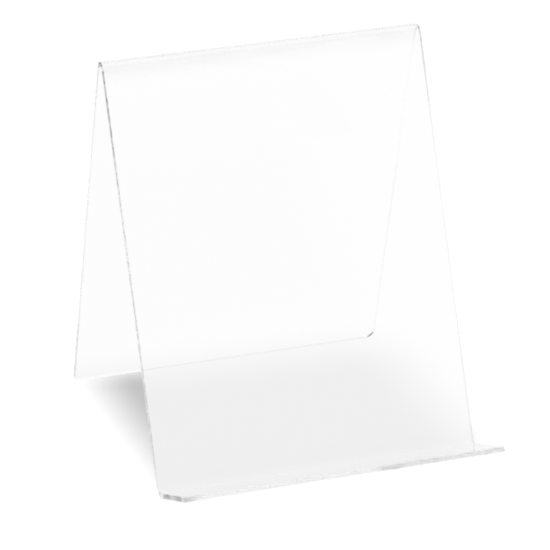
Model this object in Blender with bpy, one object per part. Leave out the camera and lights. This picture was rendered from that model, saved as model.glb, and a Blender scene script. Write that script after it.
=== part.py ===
"""Book display stand, bent from a sheet of clear acrylic.

The stand is one flat blank of 1/8 inch sheet, bent along two lines. The lower
bend turns up a short ledge for the foot of the book, square to the front
panel. At the ridge the sheet folds over and comes down behind as the back leg.
The ledge's front corners are only eased. The two corners of the leg's foot are
rounded, the right one more than the left.

Axes: +X runs along the ledge, left to right for a reader facing the stand from
the -Y side, and +Z is up. The origin is the middle of the stand's bounding box
in X and Y, at the level of the table. Lengths are in metres.
"""

import math

import bmesh
import bpy

# ---------------------------------------------------------------- dimensions
SHEET_WIDTH = 0.2032              # 8 in, along X
SHEET_THICKNESS = 0.003175        # 1/8 in cast sheet
HALF_THICKNESS = 0.5 * SHEET_THICKNESS

QUARTER_TURN = 0.5 * math.pi
FRONT_LEAN = math.radians(22.6)   # front panel, back from the vertical
BACK_LEAN = math.radians(15.6)    # back leg, forward from the vertical
LEDGE_ANGLE = math.radians(90.0)  # between the ledge and the front panel

LEDGE_FLAT = 0.0488               # flat length of the ledge, front edge to bend
FRONT_FLAT = 0.2495               # flat length of the front panel between bends
LEDGE_BEND_RADIUS = 0.0038        # inside radius of the lower bend
RIDGE_BEND_RADIUS = 0.0036        # inside radius of the ridge

LEDGE_CORNER_RADIUS = 0.0012      # the ledge's two front corners
LEG_CORNER_LEFT = 0.0032          # the back leg's foot, on the reader's left
LEG_CORNER_RIGHT = 0.00635        # and on the reader's right

# ---------------------------------------------------------- facets and edges
CORNER_STEPS = 8
CORNER_MARK_GAP = 1.0e-4          # a mark no farther than this from the last is dropped
BEND_STEP = math.radians(4.0)     # largest facet turn round a bend
ARRIS = 0.00025                   # polished rounding along the cut edges
ARRIS_SEGMENTS = 2
ARRIS_MIN_ANGLE = math.radians(50.0)  # only edges sharper than this are rounded
SHARP_ANGLE = math.radians(30.0)      # edges sharper than this are shaded sharp


# ------------------------------------------------------------- bent profile
class SheetPath:
    """The middle line of the sheet, seen along X, in (y, z).

    It starts at the ledge's front edge and is walked as straight lengths and
    turns. The heading is measured from +Y towards +Z. Each station is
    (y, z, heading, run), where run is the distance along the flat blank.
    """

    def __init__(self, heading):
        self.heading = heading
        self.stations = []
        self.mark(0.0, 0.0, 0.0)

    def mark(self, y, z, run):
        self.y, self.z, self.run = y, z, run
        self.stations.append((y, z, self.heading, run))

    def straight(self, length, marks=()):
        """A flat length, with extra stations at the given distances along it."""
        y, z, run = self.y, self.z, self.run
        for along in [*sorted(marks), length]:
            self.mark(
                y + along * math.cos(self.heading),
                z + along * math.sin(self.heading),
                run + along,
            )

    def bend(self, turn, inside_radius):
        """An arc of the middle line. A positive turn is to the left."""
        radius = inside_radius + HALF_THICKNESS
        side = math.copysign(1.0, turn)
        centre_y = self.y - side * radius * math.sin(self.heading)
        centre_z = self.z + side * radius * math.cos(self.heading)
        steps = math.ceil(abs(turn) / BEND_STEP)
        start, run = self.heading, self.run
        for k in range(1, steps + 1):
            self.heading = start + turn * k / steps
            self.mark(
                centre_y + side * radius * math.sin(self.heading),
                centre_z - side * radius * math.cos(self.heading),
                run + radius * abs(turn) * k / steps,
            )


def corner_marks(*radii):
    """Distances from a cut end at which its rounded corners have their points."""
    marks = sorted(
        radius * (1.0 - math.cos(QUARTER_TURN * k / CORNER_STEPS))
        for radius in radii
        for k in range(1, CORNER_STEPS + 1)
    )
    return marks[:1] + [
        mark for last, mark in zip(marks, marks[1:]) if mark - last > CORNER_MARK_GAP
    ]


def bent_sheet_path():
    """Walks the whole sheet; returns its path and the height of the table."""
    front_rise = QUARTER_TURN - FRONT_LEAN
    ledge_rise = LEDGE_ANGLE - front_rise
    path = SheetPath(-ledge_rise)
    path.straight(LEDGE_FLAT, corner_marks(LEDGE_CORNER_RADIUS))

    # The lower bend is walked in two turns that meet where the sheet is level,
    # so that a station lies on the line that touches the table.
    path.bend(ledge_rise, LEDGE_BEND_RADIUS)
    table = path.z - HALF_THICKNESS
    path.bend(front_rise, LEDGE_BEND_RADIUS)

    path.straight(FRONT_FLAT)
    path.bend(-(math.pi - FRONT_LEAN - BACK_LEAN), RIDGE_BEND_RADIUS)

    # The back leg is as long as it takes for its inner face to reach the table.
    inner_z = path.z - HALF_THICKNESS * math.cos(path.heading)
    leg_flat = (inner_z - table) / -math.sin(path.heading)
    foot_marks = corner_marks(LEG_CORNER_LEFT, LEG_CORNER_RIGHT)
    path.straight(leg_flat, [leg_flat - mark for mark in foot_marks])
    return path, table


def side_at(run, length, side):
    """X of one side of the blank at this run; side is -1 (left) or +1 (right)."""
    if run <= 0.5 * length:
        radius = LEDGE_CORNER_RADIUS
    else:
        radius = LEG_CORNER_RIGHT if side > 0 else LEG_CORNER_LEFT
    inset = 0.0
    to_end = min(run, length - run)
    if to_end < radius:
        inset = radius - math.sqrt(radius**2 - (radius - to_end) ** 2)
    return side * (0.5 * SHEET_WIDTH - inset)


# -------------------------------------------------------------------- solid
def sheet_mesh():
    """The sheet as four-cornered rings, one per station, skinned and capped."""
    path, table = bent_sheet_path()
    bm = bmesh.new()
    rings = []
    for y, z, heading, run in path.stations:
        left = side_at(run, path.run, -1)
        right = side_at(run, path.run, 1)
        offset_y = -HALF_THICKNESS * math.sin(heading)
        offset_z = HALF_THICKNESS * math.cos(heading)
        rings.append([
            bm.verts.new((x, y + face * offset_y, z - table + face * offset_z))
            for x, face in ((left, 1), (right, 1), (right, -1), (left, -1))
        ])
    for first, second in zip(rings, rings[1:]):
        for k in range(4):
            n = (k + 1) % 4
            bm.faces.new((first[k], first[n], second[n], second[k]))
    bm.faces.new(rings[0])
    bm.faces.new(rings[-1])
    bmesh.ops.recalc_face_normals(bm, faces=bm.faces)

    # Centre the bounding box on the origin in Y.
    ys = [vert.co.y for vert in bm.verts]
    middle_y = 0.5 * (min(ys) + max(ys))
    bmesh.ops.translate(bm, verts=bm.verts, vec=(0.0, -middle_y, 0.0))

    mesh = bpy.data.meshes.new("bent_acrylic_sheet")
    bm.to_mesh(mesh)
    bm.free()
    return mesh


def clear_acrylic():
    """Clear, polished acrylic with a faint cool tint."""
    material = bpy.data.materials.new("clear_acrylic")
    material.use_nodes = True
    inputs = material.node_tree.nodes["Principled BSDF"].inputs
    inputs["Base Color"].default_value = (0.97, 0.985, 0.985, 1.0)
    inputs["Metallic"].default_value = 0.0
    inputs["Roughness"].default_value = 0.02
    inputs["IOR"].default_value = 1.49
    inputs["Transmission Weight"].default_value = 1.0
    return material


def add_polished_arris(sheet):
    """Rounds the cut edges, leaving the facets of the bends alone."""
    arris = sheet.modifiers.new("polished_arris", "BEVEL")
    arris.width = ARRIS
    arris.segments = ARRIS_SEGMENTS
    arris.limit_method = "ANGLE"
    arris.angle_limit = ARRIS_MIN_ANGLE
    arris.use_clamp_overlap = True
    arris.harden_normals = False


def main():
    for obj in list(bpy.data.objects):
        bpy.data.objects.remove(obj, do_unlink=True)

    sheet = bpy.data.objects.new("bent_acrylic_sheet", sheet_mesh())
    bpy.context.scene.collection.objects.link(sheet)
    sheet.data.materials.append(clear_acrylic())
    add_polished_arris(sheet)
    sheet.data.shade_smooth()
    sheet.data.set_sharp_from_angle(angle=SHARP_ANGLE)


main()
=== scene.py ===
"""Looks of a book display stand: one clear acrylic sheet, bent, on a pale table.

The reader faces +Y, so -Y is the front and +X the reader's right. From the front
edge the sheet runs down the ledge, round the lower bend, up the front panel,
over the ridge and down the back leg. The table top is at Z = 0. Units are metres.
"""

import math

import bmesh
import bpy
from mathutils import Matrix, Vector, noise


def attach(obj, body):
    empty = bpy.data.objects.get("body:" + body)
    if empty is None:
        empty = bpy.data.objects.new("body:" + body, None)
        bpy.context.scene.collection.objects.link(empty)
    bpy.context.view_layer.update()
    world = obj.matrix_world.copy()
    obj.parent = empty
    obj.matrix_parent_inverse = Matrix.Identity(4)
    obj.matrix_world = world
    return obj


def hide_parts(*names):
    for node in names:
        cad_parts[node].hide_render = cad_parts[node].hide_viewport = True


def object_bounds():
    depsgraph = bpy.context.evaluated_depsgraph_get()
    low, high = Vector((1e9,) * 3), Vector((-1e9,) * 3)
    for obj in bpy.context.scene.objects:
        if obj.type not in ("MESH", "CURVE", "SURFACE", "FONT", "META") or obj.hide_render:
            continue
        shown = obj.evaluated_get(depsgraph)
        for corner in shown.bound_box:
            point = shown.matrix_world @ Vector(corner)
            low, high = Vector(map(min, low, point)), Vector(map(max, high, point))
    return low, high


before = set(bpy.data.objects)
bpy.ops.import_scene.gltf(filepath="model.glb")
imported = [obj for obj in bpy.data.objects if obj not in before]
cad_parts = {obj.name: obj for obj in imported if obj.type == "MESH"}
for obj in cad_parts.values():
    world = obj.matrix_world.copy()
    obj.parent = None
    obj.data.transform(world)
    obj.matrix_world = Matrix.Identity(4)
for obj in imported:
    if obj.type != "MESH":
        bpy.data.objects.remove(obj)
cad_low, cad_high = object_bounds()
scene = bpy.context.scene
MM = 0.001

# ------------------------------------------------------------ sheet dimensions
THICK = 3.175 * MM
HALF = 0.5 * THICK
WIDTH = cad_high.x - cad_low.x
FRONT_LEAN = math.radians(22.6)      # front panel, from upright
BACK_LEAN = math.radians(15.6)       # back leg, from upright
LEDGE_FLAT = 48.8 * MM
FRONT_FLAT = 249.5 * MM
LEDGE_BEND = 3.8 * MM                # inside radii of the bends
RIDGE_BEND = 3.6 * MM
LEDGE_CORNER = 1.2 * MM              # the ledge's two front corners
LEG_CORNER_LEFT = 3.2 * MM           # the back leg's foot, reader's left
LEG_CORNER_RIGHT = 6.35 * MM         # and reader's right
ARRIS = 0.32 * MM                    # rounding along every cut edge

# Mesh density.
BEND_STEP = math.radians(1.6)
CORNER_STEPS = 18
ARRIS_STEPS = 4
FLAT_STEP = 7.0 * MM
COLUMNS = 84                         # across the width
COLUMN_CROWDING = 0.11               # how much closer they lie near the sides
BEND_MARKS = (0.6, 1.4, 2.4, 3.6, 5.0, 6.6, 8.4, 10.4, 12.8, 15.6, 19.0)  # mm from a bend
BEND_MARGIN = 23.0 * MM              # even spacing starts this far from a bend
CORNER_MARGIN = 1.5 * MM             # and this far beyond a rounded corner
END_GAP = 0.2 * MM                   # no station this near the end of a flat
CORNER_GAP = 1e-7                    # except at rounded corners

# Heated strips: how far the heat reaches beyond the bend, and its strength.
LOWER_HEAT = (11.0 * MM, 0.35)
RIDGE_HEAT = (12.0 * MM, 1.0)

# Ripples left by heating: size across X, size along the sheet, height.
LONG_RIPPLE = (15.0 * MM, 26.0 * MM, 0.036 * MM)
SHORT_RIPPLE = (5.2 * MM, 9.0 * MM, 0.010 * MM)
BEND_RIPPLE = 0.15                   # share of the ripple left in the bends themselves
RIPPLE_RISE = 4.0 * MM               # distance from a bend to the full ripple

# Painted shade on the cut edges, as (position, tone): 1 leaves the edge clear,
# lower darkens its colour to stand in for the grey the edges show in the light.
# Along the sides the positions are 0 to 1 for the ledge, 1 to 2 round the lower
# bend, 2 to 3 up the front panel, 3 to 4 over the ridge and 4 to 5 down the leg.
# Across the ends they are X in millimetres.
TONE_LEFT = (
    (0.0, 0.55), (0.12, 0.5), (0.2, 0.10), (0.46, 0.06), (0.51, 0.8), (0.56, 0.06), (0.86, 0.12),
    (0.92, 0.8), (1.0, 0.9), (1.2, 0.5), (1.4, 0.4), (1.6, 0.9), (2.0, 0.95), (2.05, 0.7),
    (2.1, 0.4), (2.3, 0.38), (2.5, 0.42), (2.65, 0.42), (2.75, 0.26), (2.985, 0.13), (3.0, 0.1),
    (3.05, 0.45), (3.12, 0.8), (3.2, 0.8), (3.28, 0.03), (3.68, 0.03), (3.78, 0.7), (4.0, 0.75),
    (4.3, 0.98), (4.5, 0.95), (4.76, 0.9), (4.83, 0.55), (5.0, 0.55))
TONE_RIGHT = (
    (0.0, 0.7), (0.9, 0.9), (1.2, 0.6), (2.0, 0.55), (2.06, 0.85), (2.15, 1.0), (2.78, 1.0),
    (2.87, 0.55), (2.93, 0.25), (3.0, 0.15), (3.2, 0.1), (3.8, 0.1), (4.0, 0.5), (4.06, 0.85),
    (4.2, 1.0), (4.75, 1.0), (4.86, 0.8), (5.0, 0.8))
TONE_FRONT = (
    (-101.6, 0.4), (-93.0, 0.85), (-88.0, 0.95), (18.0, 0.95), (24.0, 0.60), (60.0, 0.64),
    (70.0, 0.77), (97.0, 0.79), (101.6, 0.5))
TONE_FOOT = ((-101.6, 0.8), (101.6, 0.85))


# ------------------------------------------------------------- sheet's profile
class Path:
    """Middle line of the sheet in (y, z): straight runs and bends.
    Each station is (y, z, heading, distance run)."""

    def __init__(self, heading):
        self.y = self.z = self.run = 0.0
        self.heading = heading
        self.stations = []
        self.mark()

    def mark(self):
        self.stations.append((self.y, self.z, self.heading, self.run))

    def straight(self, length, marks):
        y, z, run = self.y, self.z, self.run
        for along in marks + [length]:
            self.y = y + along * math.cos(self.heading)
            self.z = z + along * math.sin(self.heading)
            self.run = run + along
            self.mark()

    def bend(self, turn, radius):
        side = math.copysign(1.0, turn)
        centre_y = self.y - side * radius * math.sin(self.heading)
        centre_z = self.z + side * radius * math.cos(self.heading)
        steps = math.ceil(abs(turn) / BEND_STEP)
        heading, run = self.heading, self.run
        for k in range(1, steps + 1):
            self.heading = heading + turn * k / steps
            self.y = centre_y + side * radius * math.sin(self.heading)
            self.z = centre_z - side * radius * math.cos(self.heading)
            self.run = run + radius * abs(turn) * k / steps
            self.mark()


def end_marks(radii):
    """Station distances from one end of a flat: along its rounded corners, or
    beside the bend when it has none."""
    if not radii:
        return [mark * MM for mark in BEND_MARKS]
    return [radius * (1.0 - math.cos(0.5 * math.pi * k / CORNER_STEPS))
            for k in range(1, CORNER_STEPS + 1) for radius in radii]


def flat_marks(length, start_radii=(), end_radii=()):
    """Station distances along a flat, given the corner radii at its two ends."""
    marks = {round(mark, 9) for mark in end_marks(start_radii)}
    marks.update(round(length - mark, 9) for mark in end_marks(end_radii))

    start_reach = max(start_radii, default=0.0)
    end_reach = max(end_radii, default=0.0)
    low = start_reach + CORNER_MARGIN if start_radii else BEND_MARGIN
    high = length - (end_reach + CORNER_MARGIN if end_radii else BEND_MARGIN)
    count = max(1, int((high - low) / FLAT_STEP))
    marks.update(round(low + (high - low) * k / count, 9) for k in range(count + 1))
    return sorted(
        mark for mark in marks
        if END_GAP < mark < length - END_GAP
        or 0 < mark <= start_reach
        or length - end_reach <= mark < length - CORNER_GAP)


def walk():
    """The whole path, with the height of the table and the runs of its bends."""
    path = Path(-FRONT_LEAN)
    path.straight(LEDGE_FLAT, flat_marks(LEDGE_FLAT, start_radii=(LEDGE_CORNER,)))
    lower_start = path.run
    # The lower bend rests on the table where the sheet lies level.
    path.bend(FRONT_LEAN, LEDGE_BEND + HALF)
    path.table = path.z - HALF
    path.bend(0.5 * math.pi - FRONT_LEAN, LEDGE_BEND + HALF)
    path.lower = (lower_start, path.run)
    path.straight(FRONT_FLAT, flat_marks(FRONT_FLAT))
    ridge_start = path.run
    path.bend(-(math.pi - FRONT_LEAN - BACK_LEAN), RIDGE_BEND + HALF)
    path.ridge = (ridge_start, path.run)
    # The leg's inner face ends on the table.
    inner_z = path.z - HALF * math.cos(path.heading)
    leg = (inner_z - path.table) / -math.sin(path.heading)
    path.straight(leg, flat_marks(leg, end_radii=(LEG_CORNER_LEFT, LEG_CORNER_RIGHT)))
    return path


path = walk()


def between(table, at):
    """Straight-line reading of a table of (position, value)."""
    if at <= table[0][0]:
        return table[0][1]
    for (start, first), (end, second) in zip(table, table[1:]):
        if at <= end:
            return first + (second - first) * (at - start) / (end - start)
    return table[-1][1]


def side_tone(table, run):
    marks = (0.0, *path.lower, *path.ridge, path.run)
    part = next(k for k in range(5) if run <= marks[k + 1])
    return between(table, part + (run - marks[part]) / (marks[part + 1] - marks[part]))


def inset(run, side):
    """How far a side is drawn in by its rounded corner; side is -1 or +1."""
    to_end = min(run, path.run - run)
    radius = LEDGE_CORNER
    if run > 0.5 * path.run:
        radius = LEG_CORNER_RIGHT if side > 0 else LEG_CORNER_LEFT
    if to_end >= radius:
        return 0.0
    return radius - math.sqrt(radius**2 - (radius - to_end) ** 2)


def distance_from(strip, run):
    return max(strip[0] - run, run - strip[1], 0.0)


def heat(run):
    """Most at a bend, fading to 0 some way out from it."""
    return max(
        most * max(0.0, 1.0 - distance_from(strip, run) / reach) ** 2
        for strip, (reach, most) in ((path.lower, LOWER_HEAT), (path.ridge, RIDGE_HEAT)))


def ripple(x, run, face):
    """Unevenness left by heating: mostly in the flats beside the bends, which
    stay round. Face is 1 for the upper face and 2 for the under face."""
    off = min(distance_from(path.lower, run), distance_from(path.ridge, run))
    amount = heat(run) * (BEND_RIPPLE + (1.0 - BEND_RIPPLE) * min(1.0, off / RIPPLE_RISE))
    across, along, long_height = LONG_RIPPLE
    long_place = Vector((x / across, run / along, 7.3 * face))
    across, along, short_height = SHORT_RIPPLE
    short_place = Vector((x / across, run / along, 3.1 * face + 11.0))
    return amount * (long_height * noise.noise(long_place)
                     + short_height * noise.noise(short_place))


# ---------------------------------------------------------------- sheet's mesh
def edge_profile():
    """A cut edge from the upper face to the under face, as (distance out from
    the face, height above the middle line)."""
    angles = [0.5 * math.pi * k / ARRIS_STEPS for k in range(1, ARRIS_STEPS + 1)]
    upper = [(ARRIS * math.sin(a), HALF - ARRIS * (1.0 - math.cos(a))) for a in angles]
    return upper + [(ARRIS, 0.0)] + [(out, -height) for out, height in reversed(upper)]


def column_fractions():
    """Columns across the width, closer together near the sides."""
    fractions = [k / COLUMNS for k in range(COLUMNS + 1)]
    return [t - COLUMN_CROWDING * math.sin(2.0 * math.pi * t) / math.pi for t in fractions]


def cross_section(run, columns, edge):
    """Loop round the sheet at one station, as (x, height above the middle line,
    1 on a cut edge): upper face, right edge, under face, left edge."""
    left = -0.5 * WIDTH + inset(run, -1) + ARRIS
    right = 0.5 * WIDTH - inset(run, 1) - ARRIS
    across = [left + (right - left) * t for t in columns]
    points = [(x, HALF + ripple(x, run, 1.0), 0.0) for x in across]
    points += [(right + out, height, 1.0) for out, height in edge]
    points += [(x, -HALF + ripple(x, run, 2.0), 0.0) for x in reversed(across)]
    points += [(left - out, -height, 1.0) for out, height in edge]
    return points


def bent_sheet():
    """One closed skin: both faces on a fine grid, joined round the cut edges
    by a flat band with a small polished rounding on each arris."""
    outline = []
    for y, z, heading, run in path.stations:
        outline += [y - HALF * math.sin(heading), y + HALF * math.sin(heading)]
    shift = 0.5 * (cad_low.y + cad_high.y) - 0.5 * (min(outline) + max(outline))

    columns = column_fractions()
    edge = edge_profile()
    bm = bmesh.new()
    edge_layer = bm.verts.layers.float.new("cut_edge")
    heat_layer = bm.verts.layers.float.new("heated")
    tone_layer = bm.verts.layers.float.new("tone")

    rings = []
    for y, z, heading, run in path.stations:
        normal_y, normal_z = -math.sin(heading), math.cos(heading)
        heated = heat(run)
        left_tone = side_tone(TONE_LEFT, run)
        right_tone = side_tone(TONE_RIGHT, run)
        ring = []
        for x, height, cut in cross_section(run, columns, edge):
            vert = bm.verts.new(
                (x, y + height * normal_y + shift, z - path.table + height * normal_z))
            vert[edge_layer] = cut
            vert[heat_layer] = heated
            vert[tone_layer] = 1.0
            # Painted shade on the cut edges: the tone tables darken their colour.
            if cut:
                vert[tone_layer] = left_tone if x < 0.0 else right_tone
            ring.append(vert)
        rings.append(ring)

    def skin(first, second, wrap=0):
        """Quads between two rows of vertices; wrap=1 closes them into a loop."""
        size = len(first)
        for k in range(size - 1 + wrap):
            after = (k + 1) % size
            bm.faces.new((first[k], first[after], second[after], second[k]))

    for first, second in zip(rings, rings[1:]):
        skin(first, second, wrap=1)

    # The front and foot edges: rows from the upper face down to the under face.
    count, depth = len(columns), len(edge)
    for ring, tones in ((rings[0], TONE_FRONT), (rings[-1], TONE_FOOT)):
        rows = [ring[:count]]
        for left, right in zip(ring[-depth:][::-1], ring[count:count + depth]):
            row = [left]
            for t in columns[1:-1]:
                vert = bm.verts.new(left.co.lerp(right.co, t))
                vert[edge_layer] = 1.0
                # Painted shade on the front and foot edges, from their tone tables.
                vert[tone_layer] = between(tones, vert.co.x / MM)
                row.append(vert)
            rows.append(row + [right])
        rows.append(ring[count + depth:2 * count + depth][::-1])
        for first, second in zip(rows, rows[1:]):
            skin(first, second)

    bmesh.ops.recalc_face_normals(bm, faces=bm.faces)
    mesh = bpy.data.meshes.new("clear_sheet")
    bm.to_mesh(mesh)
    bm.free()
    mesh.shade_smooth()
    mesh.set_sharp_from_angle(angle=math.radians(50.0))
    return mesh


# ---------------------------------------------------------------- node helpers
def maths(tree, operation, first, second):
    """One Math node; each input is a number or another node's output."""
    node = tree.nodes.new("ShaderNodeMath")
    node.operation = operation
    for k, value in enumerate((first, second)):
        if isinstance(value, (int, float)):
            node.inputs[k].default_value = value
        else:
            tree.links.new(value, node.inputs[k])
    return node.outputs[0]


def map_range(tree, value, span, to, smooth=False):
    """Carries a value from the range span to the range to."""
    node = tree.nodes.new("ShaderNodeMapRange")
    if smooth:
        node.interpolation_type = "SMOOTHSTEP"
    for name, number in zip(("From Min", "From Max", "To Min", "To Max"), (*span, *to)):
        node.inputs[name].default_value = number
    tree.links.new(value, node.inputs["Value"])
    return node.outputs["Result"]


def by_depth(tree, span, to):
    """A value that changes with how many surfaces the light has met."""
    light_path = tree.nodes.new("ShaderNodeLightPath")
    return map_range(tree, light_path.outputs["Ray Depth"], span, to)


GLOW = 1.12                    # light that has run a long way inside the sheet


def deep_glow(tree):
    """1 for light seen directly or straight through, rising for light that has
    bounced along inside the sheet, which is what the cut edges show."""
    return by_depth(tree, span=(6.0, 14.0), to=(1.0, GLOW))


# --------------------------------------------------------------- clear acrylic
FACE_MARKS = 0.012             # roughness of handling marks
HAIRLINE = 0.05                # and of hairline scratches
EDGE_ROUGH = (0.06, 0.12)
STREAK_HEIGHT = 0.000020
EDGE_WAVE = 0.000006
BLOTCH = (0.6, 1.15)           # how unevenly the painted edge shade lies
BEND_SHADE = (0.01, 0.060)           # painted shade in the heated strips
BEND_ROUGH = 0.05              # the bends have lost a little of their polish
BEND_ROUGH_FALL = 3.0          # power by which that fades with the heat
ABSORPTION = 0.2               # per metre: it is only seen along the sheet


def clear_acrylic():
    """Clear cast acrylic. The faces are polished and hold faint handling
    marks and hairlines, the cut edges keep a fine grain from the saw under a
    light polish, and the heated strips are slightly uneven. Painted shade
    darkens the colour of the cut edges and, in smears, of the heated strips."""
    mat = bpy.data.materials.new("clear_acrylic")
    mat.use_nodes = True
    tree = mat.node_tree
    nodes, links = tree.nodes, tree.links
    acrylic = nodes["Principled BSDF"]
    for name, value in (
            ("Base Color", (1.0, 1.0, 1.0, 1.0)), ("Metallic", 0.0), ("IOR", 1.49),
            ("Transmission Weight", 1.0)):
        acrylic.inputs[name].default_value = value
    place = nodes.new("ShaderNodeTexCoord").outputs["Object"]

    def attribute(name):
        node = nodes.new("ShaderNodeAttribute")
        node.attribute_name = name
        return node.outputs["Fac"]

    def grain(scale, detail, stretch=(1.0, 1.0, 1.0), turn=0.0):
        """Noise over the object; a larger stretch makes it finer in that axis,
        and turn is about Y."""
        mapping = nodes.new("ShaderNodeMapping")
        mapping.inputs["Scale"].default_value = stretch
        mapping.inputs["Rotation"].default_value = (0.0, turn, 0.0)
        links.new(place, mapping.inputs["Vector"])
        node = nodes.new("ShaderNodeTexNoise")
        node.inputs["Scale"].default_value = scale
        node.inputs["Detail"].default_value = detail
        node.inputs["Roughness"].default_value = 0.55
        links.new(mapping.outputs[0], node.inputs["Vector"])
        return node.outputs["Fac"]

    def remap(value, span, to):
        return map_range(tree, value, span, to)

    def add(first, second):
        return maths(tree, "ADD", first, second)

    def times(first, second):
        return maths(tree, "MULTIPLY", first, second)

    def one_minus(value):
        return maths(tree, "SUBTRACT", 1.0, value)

    cut = attribute("cut_edge")
    heated = attribute("heated")

    # Roughness: handling marks, hairlines, and the grain of the cut edge.
    marks = remap(grain(scale=19.0, detail=3.0), span=(0.54, 0.74), to=(0.0, FACE_MARKS))
    steep_hairs = remap(
        grain(scale=30.0, detail=1.0, stretch=(26.0, 1.0, 1.4), turn=0.42),
        span=(0.70, 0.74), to=(0.0, HAIRLINE))
    flat_hairs = remap(
        grain(scale=34.0, detail=1.0, stretch=(1.2, 1.0, 30.0), turn=-0.25),
        span=(0.71, 0.75), to=(0.0, HAIRLINE))
    face = add(marks, maths(tree, "MAXIMUM", steep_hairs, flat_hairs))
    face = add(face, times(maths(tree, "POWER", heated, BEND_ROUGH_FALL), BEND_ROUGH))
    saw = remap(grain(scale=700.0, detail=2.0, stretch=(1.0, 0.35, 0.35)),
                span=(0.3, 0.7), to=EDGE_ROUGH)
    links.new(add(times(face, one_minus(cut)), times(saw, cut)), acrylic.inputs["Roughness"])

    # Bump: streaks along the heated strips, and the faint waviness of the edge.
    streaks = times(grain(scale=60.0, detail=3.0, stretch=(0.5, 3.0, 3.0)), heated)
    edge_wave = times(grain(scale=160.0, detail=2.0), cut)
    bump = nodes.new("ShaderNodeBump")
    bump.inputs["Strength"].default_value = 1.0
    bump.inputs["Distance"].default_value = 1.0
    links.new(add(times(streaks, STREAK_HEIGHT), times(edge_wave, EDGE_WAVE)),
              bump.inputs["Height"])
    links.new(bump.outputs[0], acrylic.inputs["Normal"])

    # Colour: painted shade on the cut edges, in blotches, and painted shade in smears along the
    # heated bends.
    edge_shade = one_minus(attribute("tone"))
    blotch = remap(grain(scale=260.0, detail=2.0, stretch=(0.3, 1.0, 1.0)),
                   span=(0.36, 0.60), to=BLOTCH)
    clear = one_minus(times(edge_shade, blotch))
    # Painted shade in the heated bends: their colour is darkened in smears.
    bend_shade_amount = remap(grain(scale=46.0, detail=3.0, stretch=(0.45, 3.4, 3.4)),
                  span=(0.35, 0.68), to=BEND_SHADE)
    clear = times(clear, one_minus(times(heated, bend_shade_amount)))
    tint = nodes.new("ShaderNodeCombineColor")
    for k in range(3):
        links.new(clear, tint.inputs[k])
    links.new(tint.outputs[0], acrylic.inputs["Base Color"])

    absorb = nodes.new("ShaderNodeVolumeAbsorption")
    absorb.inputs["Color"].default_value = (0.0, 0.0, 0.0, 1.0)
    absorb.inputs["Density"].default_value = ABSORPTION
    links.new(absorb.outputs["Volume"], nodes["Material Output"].inputs["Volume"])
    return mat


sheet = bpy.data.objects.new("clear_sheet", bent_sheet())
scene.collection.objects.link(sheet)
sheet.data.materials.append(clear_acrylic())
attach(sheet, "root")
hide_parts("bent_acrylic_sheet")
sheet.visible_shadow = False
sheet.visible_diffuse = False

# ------------------------------------------------------------- render settings
scene.view_settings.view_transform = "Standard"
scene.view_settings.look = "None"
scene.view_settings.exposure = 0.0
scene.view_settings.gamma = 1.0
cycles = scene.cycles
cycles.caustics_refractive = False
cycles.caustics_reflective = False
# Light runs a long way inside the sheet before it leaves at an edge.
cycles.max_bounces = 200
cycles.transmission_bounces = 200
cycles.glossy_bounces = 200
cycles.transparent_max_bounces = 16
cycles.diffuse_bounces = 3
cycles.filter_width = 2.2

# ----------------------------------------------------------------------- table
TABLE_RADIUS = 5.0
TABLE_DROP = 0.0001            # the top lies this far below the stand
TABLE_SHADE = 0.555            # brightness in the middle of the shadow

# A painted shadow on the table, a grey patch under the stand seen only through the acrylic.
# Pairs are where a fade starts and ends.
PAINTED_SHADOW_RIGHT = (0.0696, 0.1380)
PAINTED_SHADOW_BACK = (0.0616, 0.1529)
PAINTED_SHADOW_TURN = 0.07               # its back edge is turned a little to the stand
PAINTED_SHADOW_FRONT = (-0.078, -0.038)  # where it grows thinner to the front
PAINTED_SHADOW_THINNING = -0.32          # and by how much
PAINTED_SHADOW_LEFT = (-0.150, -0.115)
PAINTED_SHADOW_NEAR = (-0.130, -0.095)
LEDGE_PAINTED_SHADOW_BACK = (-0.057, -0.050)  # the patch by the ledge's right end
LEDGE_PAINTED_SHADOW_RIGHT = (0.125, 0.155)
LEDGE_PAINTED_SHADOW_LEFT = (0.097, 0.104)
PAINTED_SHADOW_LEDGE = 0.85              # how much of the painted shadow that patch keeps
PAINTED_SHADOW_CLEAR = 0.990             # brightness outside the painted shadow
PAINTED_SHADOW_DEPTH = 0.133             # and how much the painted shadow takes away


def painted_shadow_strength(tree):
    """Brightness of the table as seen through the acrylic, with a painted shadow under the
    stand.
    """
    where = tree.nodes.new("ShaderNodeNewGeometry")
    axes = tree.nodes.new("ShaderNodeSeparateXYZ")
    tree.links.new(where.outputs["Position"], axes.inputs[0])
    x, y = axes.outputs["X"], axes.outputs["Y"]

    def fade(along, span):
        return map_range(tree, along, span, to=(1.0, 0.0), smooth=True)

    def add(first, second):
        return maths(tree, "ADD", first, second)

    def times(first, second):
        return maths(tree, "MULTIPLY", first, second)

    def minus(first, second):
        return maths(tree, "SUBTRACT", first, second)

    # The painted shadow: a soft grey patch under the stand.
    turned = add(y, times(x, PAINTED_SHADOW_TURN))
    inside = times(fade(x, PAINTED_SHADOW_RIGHT), fade(turned, PAINTED_SHADOW_BACK))
    inside = times(inside, add(times(fade(y, PAINTED_SHADOW_FRONT), PAINTED_SHADOW_THINNING), 1.0))
    ledge = times(fade(y, LEDGE_PAINTED_SHADOW_BACK), fade(x, LEDGE_PAINTED_SHADOW_RIGHT))
    ledge = times(ledge, minus(1.0, fade(x, LEDGE_PAINTED_SHADOW_LEFT)))
    inside = maths(tree, "MAXIMUM", inside, times(ledge, PAINTED_SHADOW_LEDGE))
    outside = add(fade(x, PAINTED_SHADOW_LEFT), fade(y, PAINTED_SHADOW_NEAR))
    inside = times(inside, maths(tree, "MAXIMUM", minus(1.0, outside), 0.0))
    return times(minus(PAINTED_SHADOW_CLEAR, times(inside, PAINTED_SHADOW_DEPTH)), deep_glow(tree))


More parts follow.
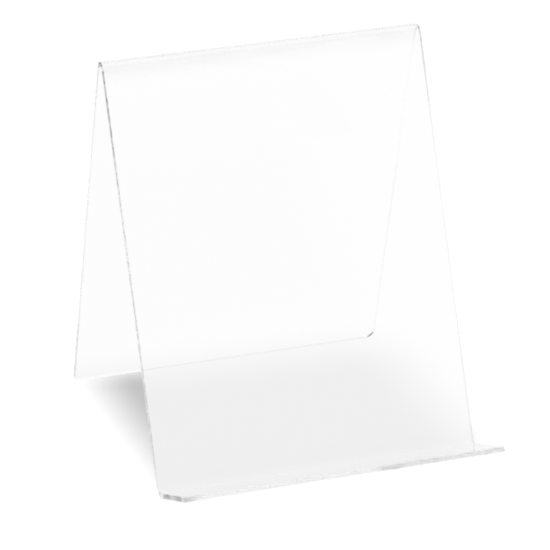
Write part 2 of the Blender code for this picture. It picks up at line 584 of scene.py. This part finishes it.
def pale_table():
    mat = bpy.data.materials.new("pale_table")
    mat.use_nodes = True
    tree = mat.node_tree
    nodes, links = tree.nodes, tree.links
    nodes.remove(nodes["Principled BSDF"])

    # Seen directly: a pale top, plus the key light and the flag's shadow.
    diffuse = nodes.new("ShaderNodeBsdfDiffuse")
    diffuse.inputs["Color"].default_value = (0.8, 0.8, 0.8, 1.0)
    base = nodes.new("ShaderNodeEmission")
    base.inputs["Strength"].default_value = TABLE_SHADE
    lit = nodes.new("ShaderNodeAddShader")
    links.new(diffuse.outputs[0], lit.inputs[0])
    links.new(base.outputs[0], lit.inputs[1])

    # Seen through the acrylic: a plain glow with a painted shadow in it.
    plain = nodes.new("ShaderNodeEmission")
    links.new(painted_shadow_strength(tree), plain.inputs["Strength"])

    light_path = nodes.new("ShaderNodeLightPath")
    mix = nodes.new("ShaderNodeMixShader")
    links.new(light_path.outputs["Is Camera Ray"], mix.inputs["Fac"])
    links.new(plain.outputs[0], mix.inputs[1])
    links.new(lit.outputs[0], mix.inputs[2])
    links.new(mix.outputs[0], nodes["Material Output"].inputs["Surface"])
    return mat


def linked_object(name, bm):
    """Turns a bmesh into an object in the scene."""
    mesh = bpy.data.meshes.new(name)
    bm.to_mesh(mesh)
    bm.free()
    obj = bpy.data.objects.new(name, mesh)
    scene.collection.objects.link(obj)
    return obj


def table_top():
    bm = bmesh.new()
    bmesh.ops.create_circle(bm, cap_ends=True, segments=96, radius=TABLE_RADIUS)
    table = linked_object("table", bm)
    table.location.z = -TABLE_DROP
    table.data.materials.append(pale_table())


table_top()

# ---------------------------------------------------------------------- studio
# The studio round the table is white, with soft grey openings in it, given as
# (azimuth, elevation, inner angle, outer angle, how dark). Azimuth 0 is the
# reader's side and 90 is the reader's right, in degrees.
OPENINGS = (
    (217.0, 30.0, 22.0, 38.0, 0.95),
    (150.0, 52.0, 10.0, 30.0, 0.14),
)


def towards(azimuth, elevation):
    """Unit direction from the stand, with azimuth 0 at the reader's side."""
    return Vector((
        math.sin(azimuth) * math.cos(elevation),
        -math.cos(azimuth) * math.cos(elevation),
        math.sin(elevation)))


def studio_world():
    world = bpy.data.worlds.new("studio")
    scene.world = world
    world.use_nodes = True
    world.cycles_visibility.diffuse = False
    tree = world.node_tree
    background = tree.nodes["Background"]
    background.inputs["Color"].default_value = (1.0, 1.0, 1.0, 1.0)
    direction = tree.nodes.new("ShaderNodeTexCoord").outputs["Generated"]
    level = deep_glow(tree)
    # Only light that has just crossed both panels meets the openings.
    share = maths(
        tree, "MULTIPLY",
        by_depth(tree, span=(4.0, 5.0), to=(0.0, 1.0)),
        by_depth(tree, span=(6.0, 7.0), to=(1.0, 0.0)))
    for azimuth, elevation, inner, outer, dark in OPENINGS:
        dot = tree.nodes.new("ShaderNodeVectorMath")
        dot.operation = "DOT_PRODUCT"
        dot.inputs[1].default_value = towards(math.radians(azimuth), math.radians(elevation))
        tree.links.new(direction, dot.inputs[0])
        span = (math.cos(math.radians(outer)), math.cos(math.radians(inner)))
        opening = map_range(tree, dot.outputs["Value"], span, to=(0.0, dark), smooth=True)
        taken = maths(tree, "MULTIPLY", opening, share)
        level = maths(tree, "MULTIPLY", level, maths(tree, "SUBTRACT", 1.0, taken))
    tree.links.new(level, background.inputs["Strength"])


studio_world()

# A broad key light shines straight down. A flag over the stand keeps part of it
# off the table, which is the soft shadow the stand sits in.
FLAG_HEIGHT = 270.0 * MM
FLAG_X = (-0.0870, 0.100)
FLAG_Y = (-0.0575, 0.112)
SHADOW_SOFTNESS = 20.0 * MM    # half the width of the shadow's soft edge


def key_light():
    key = bpy.data.lights.new("overhead_key", "SUN")
    key.energy = 2.05
    key.angle = 2.0 * math.atan(SHADOW_SOFTNESS / FLAG_HEIGHT)
    lamp = bpy.data.objects.new("overhead_key", key)
    lamp.location = (0.0, 0.0, 2.0)
    scene.collection.objects.link(lamp)


def studio_flag():
    bm = bmesh.new()
    (left, right), (front, back) = FLAG_X, FLAG_Y
    corners = ((left, front), (right, front), (right, back), (left, back))
    bm.faces.new([bm.verts.new((x, y, FLAG_HEIGHT)) for x, y in corners])
    flag = linked_object("studio_flag", bm)
    # It only casts a shadow.
    flag.visible_camera = flag.visible_diffuse = flag.visible_glossy = False
    flag.visible_transmission = flag.visible_volume_scatter = False
    mat = bpy.data.materials.new("black_flag")
    mat.use_nodes = True
    surface = mat.node_tree.nodes["Principled BSDF"]
    surface.inputs["Base Color"].default_value = (0.0, 0.0, 0.0, 1.0)
    flag.data.materials.append(mat)


key_light()
studio_flag()

# ---------------------------------------------------------------------- camera
VIEW_AZIMUTH = math.radians(-19.653)
VIEW_ELEVATION = math.radians(23.512)
VIEW_ORIGIN = Vector((0.0, 0.0416, 0.0))   # point on the table the view starts from
VIEW_DISTANCE = 2.4849
VIEW_RIGHT = 0.00884                       # sideways and upward shift of the camera
VIEW_UP = 0.0794


def camera():
    data = bpy.data.cameras.new("camera")
    cam = bpy.data.objects.new("camera", data)
    scene.collection.objects.link(cam)
    scene.camera = cam
    data.sensor_width = 36.0
    data.lens = 258.781091
    data.clip_start = 0.01
    data.clip_end = 50.0
    backward = towards(VIEW_AZIMUTH, VIEW_ELEVATION)
    right = Vector((math.cos(VIEW_AZIMUTH), math.sin(VIEW_AZIMUTH), 0.0))
    up = backward.cross(right)
    cam.location = VIEW_ORIGIN + backward * VIEW_DISTANCE + right * VIEW_RIGHT + up * VIEW_UP
    cam.rotation_mode = "QUATERNION"
    cam.rotation_quaternion = (-backward).to_track_quat("-Z", "Y")


camera()
